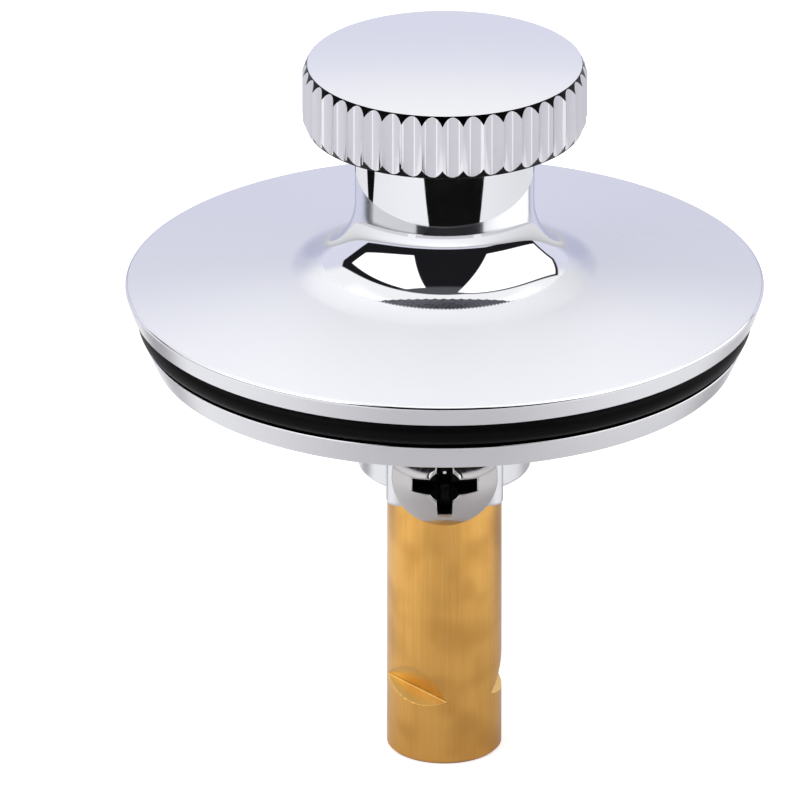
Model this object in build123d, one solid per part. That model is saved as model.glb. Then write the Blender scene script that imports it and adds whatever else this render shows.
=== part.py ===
from build123d import *
from math import cos, pi, radians, sin, sqrt, tan
import os

# Lift and turn drain stopper for a bathtub, in millimetres.
# The origin is the centre of the foot of the post, +Z is up, and the cross recess screw faces -Y.
# The model is in the lowered position, with the drain closed.

# Stations above the foot of the post, with the stopper down
rim_height = 41.65
neck_top_above_rim = 13.97
hub_foot_below_rim = 16.3
screw_below_rim = 13.17

# Disc and its rim
rim_radius = 26.5
cone_slope_degrees = 5.7
lip_thickness = 1.79
lip_foot_radius = 25.9
seal_groove_width = 2.35
flange_top_radius = 25.0
flange_foot_radius = 24.0
flange_thickness = 2.2
seal_outer_radius = 25.42
seal_section_radius = 1.13
seal_floor_clearance = 0.03
skirt_wall = 2.1
dish_depth = 3.4
dish_fillet = 0.9

# Neck above the disc and hub below it
neck_radius = 7.41
neck_flare_radius = 6.5
hub_radius = 7.16
hub_edge_chamfer = 0.3
pad_half_width = 4.84
pad_face_radius = 9.3
pad_corner_radius = 1.2

# Bore that takes the post
bore_radius = 5.92
bore_mouth_chamfer = 0.4
web_thickness = 3.37

# Knob
knob_height = 5.78
knob_crown = 0.22
knob_crest_radius = 11.78
knob_face_radius = 11.45
knob_foot_radius = 11.2
flute_count = 43
flute_depth = 0.38
knob_top_chamfer_height = 0.82
knob_foot_chamfer_height = 0.6

# Knob screw and its sealing washer
knob_thread_radius = 1.75
knob_thread_depth = 4.3
knob_screw_tip_gap = 0.4
knob_screw_head_radius = 2.87
knob_screw_head_height = 2.2
knob_screw_slot_width = 0.9
knob_screw_slot_depth = 1.0
washer_radius = 5.0
washer_hole_clearance = 0.15
washer_thickness = 0.8

# Cam screw
cam_thread_radius = 2.41
cam_thread_end_radius = 5.35
cam_head_radius = 4.38
cam_head_rim_height = 0.9
cam_head_height = 3.2
cam_point_radius = 1.5
cam_point_end_radius = 3.0
cross_span = 5.6
cross_slot_width = 1.35
cross_depth = 2.1
cross_taper_degrees = 9.0
cross_core_radius = 1.45
thread_clearance = 0.04

# Post
post_radius = 4.7625
post_wall = 1.0
post_end_chamfer = 0.25
post_top_gap = 0.5
insert_length = 12.0
insert_bore_radius = 2.55

# Cam slot in the post, and the travel that it gives
lift_travel = 9.5
turn_travel_degrees = 90.0
landing_turn_degrees = 10.0
cam_slot_clearance = 0.25

# Stakes that lock the insert
stake_height = 6.4
stake_depth = 1.19
stake_included_degrees = 108.0
stake_plane_tilt_degrees = 10.0
stake_plane_low_azimuth = 29.0
stake_azimuths = (-38.5, 96.5, 209.0)

# Bushings, grip ring and retaining ring
bushing_bore_clearance = 0.07
bushing_post_clearance = 0.08
grip_ring_section_radius = 0.54
grip_ring_below_rim = 1.0
grip_ring_gap = 0.06
upper_bushing_gap = 0.1
lower_bushing_length = 7.0
retaining_ring_thickness = 0.75
retaining_ring_depth = 0.33
retaining_ring_inner_radius = 5.25
retaining_ring_gap_degrees = 50.0
ring_fit_clearance = 0.03
ring_bushing_gap = 0.1

# One length that every cut runs past the material that it cuts
overrun = 2.0

# Stations worked out from the sizes above
neck_top = rim_height + neck_top_above_rim
hub_foot = rim_height - hub_foot_below_rim
screw_height = rim_height - screw_below_rim
web_foot = neck_top - web_thickness
washer_foot = web_foot - washer_thickness
post_length = washer_foot - post_top_gap
post_bore_radius = post_radius - post_wall
groove_top = rim_height - lip_thickness
groove_foot = groove_top - seal_groove_width
flange_foot = groove_foot - flange_thickness
seal_ring_radius = seal_outer_radius - seal_section_radius
groove_floor_radius = seal_ring_radius - seal_section_radius - seal_floor_clearance
dish_radius = groove_floor_radius - skirt_wall
dish_roof = flange_foot + dish_depth
bushing_outer_radius = bore_radius - bushing_bore_clearance
bushing_inner_radius = post_radius + bushing_post_clearance
grip_ring_height = rim_height - grip_ring_below_rim
upper_bushing_foot = grip_ring_height + grip_ring_section_radius + grip_ring_gap
lower_bushing_top = grip_ring_height - grip_ring_section_radius - grip_ring_gap
lower_bushing_foot = lower_bushing_top - lower_bushing_length
retaining_ring_top = lower_bushing_foot - ring_bushing_gap
retaining_ring_foot = retaining_ring_top - retaining_ring_thickness

front = Vector(0, -1, 0)


def turned(points, *arcs):
    """Solid of revolution about Z from (radius, height) points, with listed steps bent into arcs.

    Each arc is (index of the step's first point, a point midway along the arc).
    """
    middles = dict(arcs)
    edges = []
    for index, start in enumerate(points):
        end = points[(index + 1) % len(points)]
        start_xz = (start[0], 0, start[1])
        end_xz = (end[0], 0, end[1])
        if index in middles:
            middle = middles[index]
            edges.append(ThreePointArc(start_xz, (middle[0], 0, middle[1]), end_xz))
        else:
            edges.append(Line(start_xz, end_xz))
    return revolve(make_face(edges), axis=Axis.Z)


def ring(outer, inner, foot, height):
    """Plain ring about Z, standing on the height foot."""
    span = Pos(0, 0, foot + height / 2)
    return span * Cylinder(outer, height) - span * Cylinder(inner, height + 2 * overrun)


def radial_rod(radius, start, end, height):
    """Round rod along the front direction, from one distance from the axis to another."""
    seat = Plane(origin=front * start + Vector(0, 0, height), z_dir=front)
    return seat * extrude(Circle(radius), end - start)


def cone_height(radius):
    """Height of the disc's top face at a distance from the axis."""
    return rim_height + (rim_radius - radius) * tan(radians(cone_slope_degrees))


def make_stopper_body():
    """One casting: disc with its rim groove, flared neck above, hub with a screw pad below."""
    slope = radians(cone_slope_degrees)
    flare_end = neck_radius + neck_flare_radius * (1 - sin(slope))
    flare_centre_height = cone_height(flare_end) + neck_flare_radius * cos(slope)
    flare_centre_radius = neck_radius + neck_flare_radius
    half_turn = (pi / 2 - slope) / 2
    flare_middle = (
        flare_centre_radius - neck_flare_radius * cos(half_turn),
        flare_centre_height - neck_flare_radius * sin(half_turn),
    )
    corner = dish_fillet * (1 - sqrt(0.5))
    outline = [
        (0, neck_top),
        (neck_radius, neck_top),
        (neck_radius, flare_centre_height),
        (flare_end, cone_height(flare_end)),
        (rim_radius, rim_height),
        (lip_foot_radius, groove_top),
        (groove_floor_radius, groove_top),
        (groove_floor_radius, groove_foot),
        (flange_top_radius, groove_foot),
        (flange_foot_radius, flange_foot),
        (dish_radius, flange_foot),
        (dish_radius, dish_roof - dish_fillet),
        (dish_radius - dish_fillet, dish_roof),
        (hub_radius + dish_fillet, dish_roof),
        (hub_radius, dish_roof - dish_fillet),
        (hub_radius, hub_foot + hub_edge_chamfer),
        (hub_radius - hub_edge_chamfer, hub_foot),
        (0, hub_foot),
    ]
    body = turned(
        outline,
        (2, flare_middle),
        (11, (dish_radius - corner, dish_roof - corner)),
        (13, (hub_radius + corner, dish_roof - corner)),
    )

    pad_height = dish_roof - hub_foot
    pad_sketch = Pos(0, -pad_face_radius / 2) * Rectangle(2 * pad_half_width, pad_face_radius)
    pad_sketch = fillet(pad_sketch.vertices().group_by(Axis.Y)[0], pad_corner_radius)
    body += Pos(0, 0, hub_foot) * extrude(pad_sketch, pad_height)

    bore_length = web_foot - hub_foot + overrun
    body -= Pos(0, 0, web_foot - bore_length / 2) * Cylinder(bore_radius, bore_length)
    body -= turned(
        [
            (0, hub_foot - overrun),
            (bore_radius + bore_mouth_chamfer + overrun, hub_foot - overrun),
            (bore_radius, hub_foot + bore_mouth_chamfer),
            (0, hub_foot + bore_mouth_chamfer),
        ]
    )
    body -= Pos(0, 0, web_foot) * Cylinder(
        knob_thread_radius + thread_clearance, 2 * (web_thickness + overrun)
    )
    body -= ring(
        bore_radius + retaining_ring_depth + ring_fit_clearance,
        bore_radius - overrun,
        retaining_ring_foot - ring_fit_clearance,
        retaining_ring_thickness + 2 * ring_fit_clearance,
    )
    body -= radial_rod(
        cam_thread_radius + thread_clearance, 0, pad_face_radius + overrun, screw_height
    )
    return body


def make_rim_seal():
    """O-ring in the rim groove."""
    return Pos(0, 0, (groove_top + groove_foot) / 2) * Torus(seal_ring_radius, seal_section_radius)


def make_knob():
    """Knob with a crowned face, chamfered rims and round flutes that meet in sharp crests."""
    top = neck_top + knob_height
    face_height = top - knob_crown
    blank_radius = knob_crest_radius + flute_depth
    top_slope = knob_top_chamfer_height / (knob_crest_radius - knob_face_radius)
    foot_slope = knob_foot_chamfer_height / (knob_crest_radius - knob_foot_radius)
    crown_radius = (knob_face_radius**2 + knob_crown**2) / (2 * knob_crown)
    middle = knob_face_radius / 2
    middle_height = top - crown_radius + sqrt(crown_radius**2 - middle**2)
    knob = turned(
        [
            (0, top),
            (knob_face_radius, face_height),
            (blank_radius, face_height - (blank_radius - knob_face_radius) * top_slope),
            (blank_radius, neck_top + (blank_radius - knob_foot_radius) * foot_slope),
            (knob_foot_radius, neck_top),
            (0, neck_top),
        ],
        (0, (middle, middle_height)),
    )

    half_pitch = pi / flute_count
    crest_x = knob_crest_radius * cos(half_pitch)
    crest_y = knob_crest_radius * sin(half_pitch)
    valley_radius = knob_crest_radius - flute_depth
    reach = crest_x - valley_radius
    flute_radius = (reach**2 + crest_y**2) / (2 * reach)
    cutters = PolarLocations(valley_radius + flute_radius, flute_count) * Cylinder(
        flute_radius, 2 * (knob_height + overrun)
    )
    for cutter in cutters:
        knob -= Pos(0, 0, neck_top) * cutter

    knob -= Pos(0, 0, neck_top) * Cylinder(knob_thread_radius + thread_clearance, 2 * knob_thread_depth)
    return knob


def make_knob_screw():
    """Slotted screw that goes up through the web of the neck into the knob."""
    tip = neck_top + knob_thread_depth - knob_screw_tip_gap
    shank_length = tip - washer_foot
    head_foot = washer_foot - knob_screw_head_height
    screw = Pos(0, 0, washer_foot + shank_length / 2) * Cylinder(knob_thread_radius, shank_length)
    screw += Pos(0, 0, head_foot + knob_screw_head_height / 2) * Cylinder(
        knob_screw_head_radius, knob_screw_head_height
    )
    screw -= Pos(0, 0, head_foot) * Box(
        2 * (knob_screw_head_radius + overrun), knob_screw_slot_width, 2 * knob_screw_slot_depth
    )
    return screw


def make_sealing_washer():
    """Washer between the knob screw's head and the web of the neck."""
    return ring(
        washer_radius, knob_thread_radius + washer_hole_clearance, washer_foot, washer_thickness
    )


def make_cam_screw():
    """Round head screw with a cross recess. Its plain point runs in the cam slot of the post."""
    dome_height = cam_head_height - cam_head_rim_height
    dome_radius = (cam_head_radius**2 + dome_height**2) / (2 * dome_height)
    middle_x = cam_head_radius / 2
    middle_y = cam_head_height - dome_radius + sqrt(dome_radius**2 - middle_x**2)
    head = turned(
        [
            (0, 0),
            (cam_head_radius, 0),
            (cam_head_radius, cam_head_rim_height),
            (0, cam_head_height),
        ],
        (2, (middle_x, middle_y)),
    )
    wing = Rectangle(cross_span, cross_slot_width) + Rectangle(cross_slot_width, cross_span)
    recess_plane = Pos(0, 0, cam_head_height)
    head -= recess_plane * extrude(wing, -cross_depth, taper=cross_taper_degrees)
    head -= recess_plane * extrude(wing, overrun)
    core_length = cross_depth + cross_core_radius
    head -= Pos(0, 0, cam_head_height - core_length / 2) * Cone(0, cross_core_radius, core_length)
    seat = Plane(origin=front * pad_face_radius + Vector(0, 0, screw_height), z_dir=front)
    screw = seat * head
    screw += radial_rod(cam_thread_radius, cam_thread_end_radius, pad_face_radius, screw_height)
    screw += radial_rod(cam_point_radius, cam_point_end_radius, cam_thread_end_radius, screw_height)
    return screw


def make_stake_cutters():
    """V edged cutters, all in one slightly tilted plane, that cut the stakes of the post."""
    half_angle = radians(stake_included_degrees / 2)
    tool_depth = stake_depth + overrun
    tip_radius = post_radius - stake_depth
    half_width = tool_depth * tan(half_angle)
    wedge = Polyline(
        (tip_radius, 0),
        (tip_radius + tool_depth, half_width),
        (tip_radius + tool_depth, -half_width),
        close=True,
    )
    section = Plane.XZ * make_face(wedge)
    cutter = extrude(section, 2 * post_radius, both=True)
    low_side = stake_plane_low_azimuth - 90
    tilt = Rot(0, 0, low_side) * Rot(0, stake_plane_tilt_degrees, 0) * Rot(0, 0, -low_side)
    plane = Pos(0, 0, stake_height) * tilt
    return [plane * Rot(0, 0, azimuth - 90) * cutter for azimuth in stake_azimuths]


def make_cam_slot_cutter():
    """Helical slot with round ends and a short level landing at its top.

    The head turns clockwise, seen from above, as it rises.
    """
    half_width = cam_point_radius + cam_slot_clearance
    path_radius = post_radius - post_wall / 2
    depth = post_wall + overrun / 2
    quarter = 360 / turn_travel_degrees
    path = Rot(0, 0, -90) * Helix(lift_travel * quarter, lift_travel, path_radius, lefthand=True)
    path = Pos(0, 0, screw_height) * path
    start = Plane(origin=path @ 0, x_dir=front, z_dir=path % 0)
    cutter = sweep(start * Rectangle(depth, 2 * half_width), path=path, is_frenet=True)

    inner = path_radius - depth / 2
    outer = path_radius + depth / 2
    landing_height = screw_height + lift_travel
    landing_section = Plane.XZ * Pos(path_radius, landing_height) * Rectangle(depth, 2 * half_width)
    landing = revolve(landing_section, axis=Axis.Z, revolution_arc=landing_turn_degrees)
    cutter += Rot(0, 0, -90 - turn_travel_degrees - landing_turn_degrees) * landing
    for height, turn in (
        (screw_height, 0),
        (landing_height, -turn_travel_degrees),
        (landing_height, -turn_travel_degrees - landing_turn_degrees),
    ):
        cutter += Rot(0, 0, turn) * radial_rod(half_width, inner, outer, height)
    return cutter


def make_post_tube():
    """Brass tube with the cam slot near its top and the stakes near its foot."""
    tube = ring(post_radius, post_bore_radius, 0, post_length)
    rims = tube.edges().filter_by(GeomType.CIRCLE).filter_by(lambda edge: edge.radius > post_bore_radius)
    tube = chamfer(rims, post_end_chamfer)
    tube -= make_cam_slot_cutter()
    for cutter in make_stake_cutters():
        tube -= cutter
    return tube


def make_threaded_insert():
    """Bush in the foot of the post. Its bore is drawn at the crests of its inner thread."""
    insert = ring(post_bore_radius, insert_bore_radius, 0, insert_length)
    for cutter in make_stake_cutters():
        insert -= cutter
    return insert


def make_upper_bushing():
    """Nylon sleeve above the grip ring."""
    top = washer_foot - upper_bushing_gap
    return ring(
        bushing_outer_radius, bushing_inner_radius, upper_bushing_foot, top - upper_bushing_foot
    )


def make_lower_bushing():
    """Nylon sleeve below the grip ring."""
    return ring(
        bushing_outer_radius, bushing_inner_radius, lower_bushing_foot, lower_bushing_length
    )


def make_grip_ring():
    """Small O-ring that drags on the post."""
    ring_radius = (bushing_inner_radius + bushing_outer_radius) / 2
    return Pos(0, 0, grip_ring_height) * Torus(ring_radius, grip_ring_section_radius)


def make_retaining_ring():
    """Open ring sprung into the groove of the bore, with its gap at the back."""
    closed = ring(
        bore_radius + retaining_ring_depth,
        retaining_ring_inner_radius,
        retaining_ring_foot,
        retaining_ring_thickness,
    )
    reach = bore_radius + overrun
    half_gap = radians(retaining_ring_gap_degrees / 2)
    side_x = reach * sin(half_gap)
    side_y = reach * cos(half_gap)
    wedge = Polyline((0, 0), (side_x, side_y), (-side_x, side_y), close=True)
    gap_height = retaining_ring_thickness + 2 * overrun
    gap = Pos(0, 0, retaining_ring_foot - overrun) * extrude(make_face(wedge), gap_height)
    return closed - gap


parts = {
    "stopper_body": make_stopper_body(),
    "rim_seal": make_rim_seal(),
    "knob": make_knob(),
    "knob_screw": make_knob_screw(),
    "sealing_washer": make_sealing_washer(),
    "cam_screw": make_cam_screw(),
    "retaining_ring": make_retaining_ring(),
    "upper_bushing": make_upper_bushing(),
    "grip_ring": make_grip_ring(),
    "lower_bushing": make_lower_bushing(),
    "post_tube": make_post_tube(),
    "threaded_insert": make_threaded_insert(),
}

os.makedirs("parts", exist_ok=True)
for name, shape in parts.items():
    export_step(shape, f"parts/{name}.step")
    print(name, round(shape.volume, 1))
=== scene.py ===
"""Looks of a lift and turn drain stopper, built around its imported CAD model.

The frame is the CAD's own: metres, origin at the centre of the foot of the post, +Z up, and the cross recess screw
faces -Y. Each class below makes one sub-assembly. Its sizes are fields, in millimetres, and its meshes are worked
out with numpy as profiles carried round an axis. Angles of azimuth are counted from -Y towards +X.
"""

import functools
import logging
import math
from dataclasses import dataclass
from enum import Enum
from typing import Sequence

import bmesh
import bpy
import numpy as np
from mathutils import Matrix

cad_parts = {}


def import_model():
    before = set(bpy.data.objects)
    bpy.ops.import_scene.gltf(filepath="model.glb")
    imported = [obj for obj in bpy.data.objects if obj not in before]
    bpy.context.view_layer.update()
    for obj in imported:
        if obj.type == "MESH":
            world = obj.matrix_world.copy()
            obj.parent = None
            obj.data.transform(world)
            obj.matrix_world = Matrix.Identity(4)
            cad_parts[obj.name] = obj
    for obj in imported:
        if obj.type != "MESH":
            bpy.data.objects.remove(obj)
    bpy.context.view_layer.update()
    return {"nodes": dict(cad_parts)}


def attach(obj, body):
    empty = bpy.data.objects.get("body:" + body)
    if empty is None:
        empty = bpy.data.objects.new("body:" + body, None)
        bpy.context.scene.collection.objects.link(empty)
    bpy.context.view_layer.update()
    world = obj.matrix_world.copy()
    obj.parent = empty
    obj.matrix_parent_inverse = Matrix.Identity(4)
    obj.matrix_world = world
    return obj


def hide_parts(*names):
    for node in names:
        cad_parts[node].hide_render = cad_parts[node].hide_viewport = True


MM = 0.001
JOIN_DISTANCE = 2e-7
SHARP_ANGLE = math.radians(32.0)
ARC_SHARE = 0.45
GUARD_SHARE = 0.48
NEAR_EDGE = 0.985
Socket = bpy.types.NodeSocket
Colour = tuple[float, float, float, float]
log = logging.getLogger("drain_stopper")


# Colours and nodes


def linear(hex_colour: str) -> Colour:
    """Turns an sRGB hex colour into linear light.

    Args:
        hex_colour: Six hex digits, such as "D9A441".

    Returns:
        Red, green, blue and an alpha of 1, each from 0 to 1.
    """
    levels = np.array([int(hex_colour[i : i + 2], 16) for i in (0, 2, 4)]) / 255.0
    light = np.where(levels <= 0.04045, levels / 12.92, ((levels + 0.055) / 1.055) ** 2.4)
    return (float(light[0]), float(light[1]), float(light[2]), 1.0)


def grey(level: float) -> Colour:
    """A neutral linear colour."""
    return (level, level, level, 1.0)


class Nodes:
    """A node tree with short ways to add what the finishes and the room are made of.

    Every method takes a value or an output socket wherever a node has an input.
    """

    def __init__(self, tree: bpy.types.NodeTree) -> None:
        """Keeps the tree."""
        self.tree = tree

    def add(
        self, kind: str, settings: dict[str, object] | None = None, inputs: dict[object, object] | None = None
    ) -> bpy.types.Node:
        """Adds a node, sets its properties and fills its inputs.

        Args:
            kind: The node's type name after "ShaderNode".
            settings: Property names and their values.
            inputs: Socket names or numbers and their values.

        Returns:
            The new node.
        """
        node = self.tree.nodes.new("ShaderNode" + kind)
        for name, value in (settings or {}).items():
            setattr(node, name, value)
        self.fill(node, inputs or {})
        return node

    def fill(self, node: bpy.types.Node, inputs: dict[object, object]) -> None:
        """Fills inputs of a node with values, or links them to the sockets that feed them.

        Args:
            node: The node.
            inputs: Socket names or numbers and their values.
        """
        for key, value in inputs.items():
            if isinstance(value, Socket):
                self.tree.links.new(value, node.inputs[key])
            else:
                node.inputs[key].default_value = value

    def calc(self, operation: str, first: object, second: object = 0.0) -> Socket:
        """One sum on two numbers."""
        return self.add("Math", {"operation": operation}, {0: first, 1: second}).outputs[0]

    def product(self, *shares: Socket) -> Socket:
        """The product of several shares."""
        return functools.reduce(functools.partial(self.calc, "MULTIPLY"), shares)

    def length(self, first: object, second: object) -> Socket:
        """The length sqrt(first^2 + second^2)."""
        squares = [self.calc("MULTIPLY", part, part) for part in (first, second)]
        return self.calc("SQRT", self.calc("ADD", *squares))

    def mix(self, share: object, low: object, high: object, kind: str = "RGBA") -> Socket:
        """A mix of two colours, or of two numbers where the kind is FLOAT."""
        inputs = {"Factor": share, "A": low, "B": high}
        return self.add("Mix", {"data_type": kind}, inputs).outputs["Result"]

    def span(
        self, value: object, start: float, end: float, low: float = 0.0, high: float = 1.0, curve: str = "LINEAR"
    ) -> Socket:
        """Maps a value from one span onto another and keeps it there.

        Args:
            value: The value.
            start: Where the first span starts.
            end: Where it ends.
            low: What the start becomes.
            high: What the end becomes.
            curve: LINEAR, or SMOOTHSTEP for soft ends.

        Returns:
            The mapped value.
        """
        inputs = {"Value": value, "From Min": start, "From Max": end, "To Min": low, "To Max": high}
        return self.add("MapRange", {"interpolation_type": curve}, inputs).outputs[0]

    def step(self, value: object, start: float, end: float) -> Socket:
        """A smooth rise from 0 to 1 between two values."""
        return self.span(value, start, end, curve="SMOOTHSTEP")

    def noise(self, place: object, size_mm: float, detail: float = 2.0, roughness: float = 0.5) -> Socket:
        """Clouds of a given size."""
        inputs = {"Vector": place, "Scale": 1.0 / (size_mm * MM), "Detail": detail, "Roughness": roughness}
        return self.add("TexNoise", inputs=inputs).outputs[0]

    def bump(self, height: object, strength: float) -> Socket:
        """Normals of a relief a hundredth of a millimetre deep."""
        return self.add("Bump", inputs={"Height": height, "Strength": strength, "Distance": 0.01 * MM}).outputs[0]

    def ramp(self, factor: object, stops: Sequence[tuple[float, object]], curve: str = "LINEAR") -> Socket:
        """Adds a colour ramp.

        Args:
            factor: The socket that drives the ramp.
            stops: Places from 0 to 1, each with its linear colour.
            curve: How the ramp runs between its stops.

        Returns:
            The ramp's colour.
        """
        ramp = self.add("ValToRGB", inputs={"Fac": factor})
        ramp.color_ramp.interpolation = curve
        elements = ramp.color_ramp.elements
        while len(elements) < len(stops):
            elements.new(0.5)
        for element, (place, colour) in zip(elements, stops):
            element.position = place
            element.color = colour
        return ramp.outputs["Color"]


# Meshes


class Wrap(Enum):
    """Whether the columns of a grid run right round and meet."""

    ROUND = True
    OPEN = False


@dataclass(frozen=True)
class Grid:
    """A grid of points (rows, columns, 3) in millimetres."""

    points: np.ndarray
    wrap: Wrap = Wrap.ROUND

    def faces(self, first: int) -> np.ndarray:
        """Quads between neighbouring rows and columns.

        Args:
            first: The number of the grid's first vertex in the mesh.

        Returns:
            Vertex numbers, four to a face.
        """
        rows, columns = self.points.shape[:2]
        number = first + np.arange(rows * columns).reshape(rows, columns)
        if self.wrap is Wrap.ROUND:
            number = np.concatenate([number, number[:, :1]], axis=1)
        quads = [number[:-1, :-1], number[:-1, 1:], number[1:, 1:], number[1:, :-1]]
        return np.stack(quads, axis=-1).reshape(-1, 4)


def make_piece(name: str, grids: Sequence[Grid], finish: bpy.types.Material) -> bpy.types.Object:
    """Makes one closed piece from grids of points, joined where they meet.

    Args:
        name: The piece's name.
        grids: The grids that together close the surface.
        finish: The piece's main finish.

    Returns:
        The piece, at the origin, with its place in its mesh.
    """
    points = np.concatenate([grid.points.reshape(-1, 3) for grid in grids]) * MM
    firsts = np.cumsum([0] + [grid.points.shape[0] * grid.points.shape[1] for grid in grids])
    faces = np.concatenate([grid.faces(int(first)) for grid, first in zip(grids, firsts)])
    mesh = bpy.data.meshes.new(name)
    mesh.vertices.add(len(points))
    mesh.vertices.foreach_set("co", points.astype(np.float32).ravel())
    mesh.loops.add(faces.size)
    mesh.loops.foreach_set("vertex_index", faces.astype(np.int32).ravel())
    mesh.polygons.add(len(faces))
    mesh.polygons.foreach_set("loop_start", np.arange(0, faces.size, 4, dtype=np.int32))
    mesh.update(calc_edges=True)

    work = bmesh.new()
    work.from_mesh(mesh)
    bmesh.ops.remove_doubles(work, verts=work.verts, dist=JOIN_DISTANCE)
    bmesh.ops.recalc_face_normals(work, faces=work.faces)
    work.to_mesh(mesh)
    work.free()
    mesh.shade_smooth()
    mesh.set_sharp_from_angle(angle=SHARP_ANGLE)
    mesh.materials.append(finish)
    piece = bpy.data.objects.new(name, mesh)
    bpy.context.scene.collection.objects.link(piece)
    return piece


def give_faces(piece: bpy.types.Object, finish: bpy.types.Material, chosen: np.ndarray) -> None:
    """Gives some faces of a piece a finish of their own.

    Args:
        piece: The piece, which already has its main finish.
        finish: The finish of the chosen faces.
        chosen: True for each chosen face.
    """
    piece.data.materials.append(finish)
    numbers = np.zeros(len(chosen), np.int32)
    piece.data.polygons.foreach_get("material_index", numbers)
    numbers[chosen] = len(piece.data.materials) - 1
    piece.data.polygons.foreach_set("material_index", numbers)


def face_facts(piece: bpy.types.Object) -> tuple[np.ndarray, np.ndarray]:
    """Reads where a piece's faces are and which way they look.

    Args:
        piece: The piece.

    Returns:
        The faces' centres, in millimetres, and their normals.
    """
    count = len(piece.data.polygons)
    centres = np.zeros(count * 3, np.float32)
    normals = np.zeros(count * 3, np.float32)
    piece.data.polygons.foreach_get("center", centres)
    piece.data.polygons.foreach_get("normal", normals)
    return centres.reshape(-1, 3) / MM, normals.reshape(-1, 3)


def rounded(corners: Sequence[tuple[object, object, float, int]], columns: int, guard: float = 0.03) -> np.ndarray:
    """Rounds the corners of a profile with true arcs.

    The arc at a corner starts and ends where it is tangent to both sides, at radius / tan(half the corner's angle)
    from the corner, or nearer where a side is short: it takes at most ARC_SHARE of a side. A row of guard points just
    outside each arc keeps the shading of the flat sides flat.

    Args:
        corners: (radius from the axis, height, rounding radius, arc steps). The first two may be arrays over columns.
        columns: How many columns the profile is worked out for.
        guard: How far outside an arc its guard points lie.

    Returns:
        Points (rows, columns, 2) of radius and height.
    """
    flat = np.zeros((len(corners), columns, 2))
    for index, (radius, height, _, _) in enumerate(corners):
        flat[index, :, 0] = radius
        flat[index, :, 1] = height
    rows = [flat[0]]
    for index in range(1, len(corners) - 1):
        rounding, steps = corners[index][2:]
        corner = flat[index]
        back = flat[index - 1] - corner
        ahead = flat[index + 1] - corner
        back_length = np.maximum(np.linalg.norm(back, axis=1, keepdims=True), 1e-9)
        ahead_length = np.maximum(np.linalg.norm(ahead, axis=1, keepdims=True), 1e-9)
        back = back / back_length
        ahead = ahead / ahead_length
        cosine = np.clip(np.sum(back * ahead, axis=1, keepdims=True), -0.9999, 0.9999)
        reach = rounding * np.sqrt((1 + cosine) / (1 - cosine))
        reach = np.minimum(reach, ARC_SHARE * np.minimum(back_length, ahead_length))
        weight = np.sqrt((1 - cosine) / 2)
        start = corner + back * reach
        end = corner + ahead * reach
        rows.append(corner + back * np.minimum(reach + guard, GUARD_SHARE * back_length))
        for step in np.linspace(0.0, 1.0, steps + 1):
            near = (1 - step) ** 2
            mid = 2 * step * (1 - step) * weight
            far = step**2
            rows.append((near * start + mid * corner + far * end) / (near + mid + far))
        rows.append(corner + ahead * np.minimum(reach + guard, GUARD_SHARE * ahead_length))
    rows.append(flat[-1])
    return np.stack(rows)


def about_axis(profile: np.ndarray, azimuth: np.ndarray) -> np.ndarray:
    """Carries a profile round the Z axis: (r sin a, -r cos a, z) for each azimuth a.

    Args:
        profile: (rows, columns, 2) of radius and height.
        azimuth: Radians, one to a column.

    Returns:
        Points (rows, columns, 3).
    """
    radius = profile[..., 0]
    return np.stack([radius * np.sin(azimuth), -radius * np.cos(azimuth), profile[..., 1]], axis=-1)


def round_trip(columns: int) -> np.ndarray:
    """Azimuths of evenly spaced columns, in radians."""
    return np.linspace(-math.pi, math.pi, columns, endpoint=False)


# Finishes


@dataclass(frozen=True)
class Finish:
    """A material with patterns in real millimetres on Object coordinates. Each kind of finish has its own paint."""

    name: str

    def build(self) -> bpy.types.Material:
        """Makes the material.

        Returns:
            The material.
        """
        material = bpy.data.materials.new(self.name)
        material.use_nodes = True
        nodes = Nodes(material.node_tree)
        place = nodes.add("TexCoord").outputs["Object"]
        nodes.fill(nodes.tree.nodes["Principled BSDF"], self.paint(nodes, place))
        return material

    def paint(self, nodes: Nodes, place: Socket) -> dict[object, object]:
        """Gives the shader's inputs and their values."""
        raise NotImplementedError


@dataclass(frozen=True)
class ChromePlate(Finish):
    """Bright decorative chrome on a polished casting: a clear, slightly cool mirror with a very faint haze."""

    name: str = "bright_chrome_plate"
    tint: str = "F1F2F5"
    roughness: float = 0.025
    haze_mm: float = 1.6

    def paint(self, nodes: Nodes, place: Socket) -> dict[object, object]:
        """A mirror whose roughness varies a little, as polish does."""
        cloud = nodes.noise(place, self.haze_mm, 3.0, 0.6)
        return {
            "Metallic": 1.0,
            "Base Color": linear(self.tint),
            "Roughness": nodes.span(cloud, 0.3, 0.7, self.roughness * 0.6, self.roughness * 1.6),
        }


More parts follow.
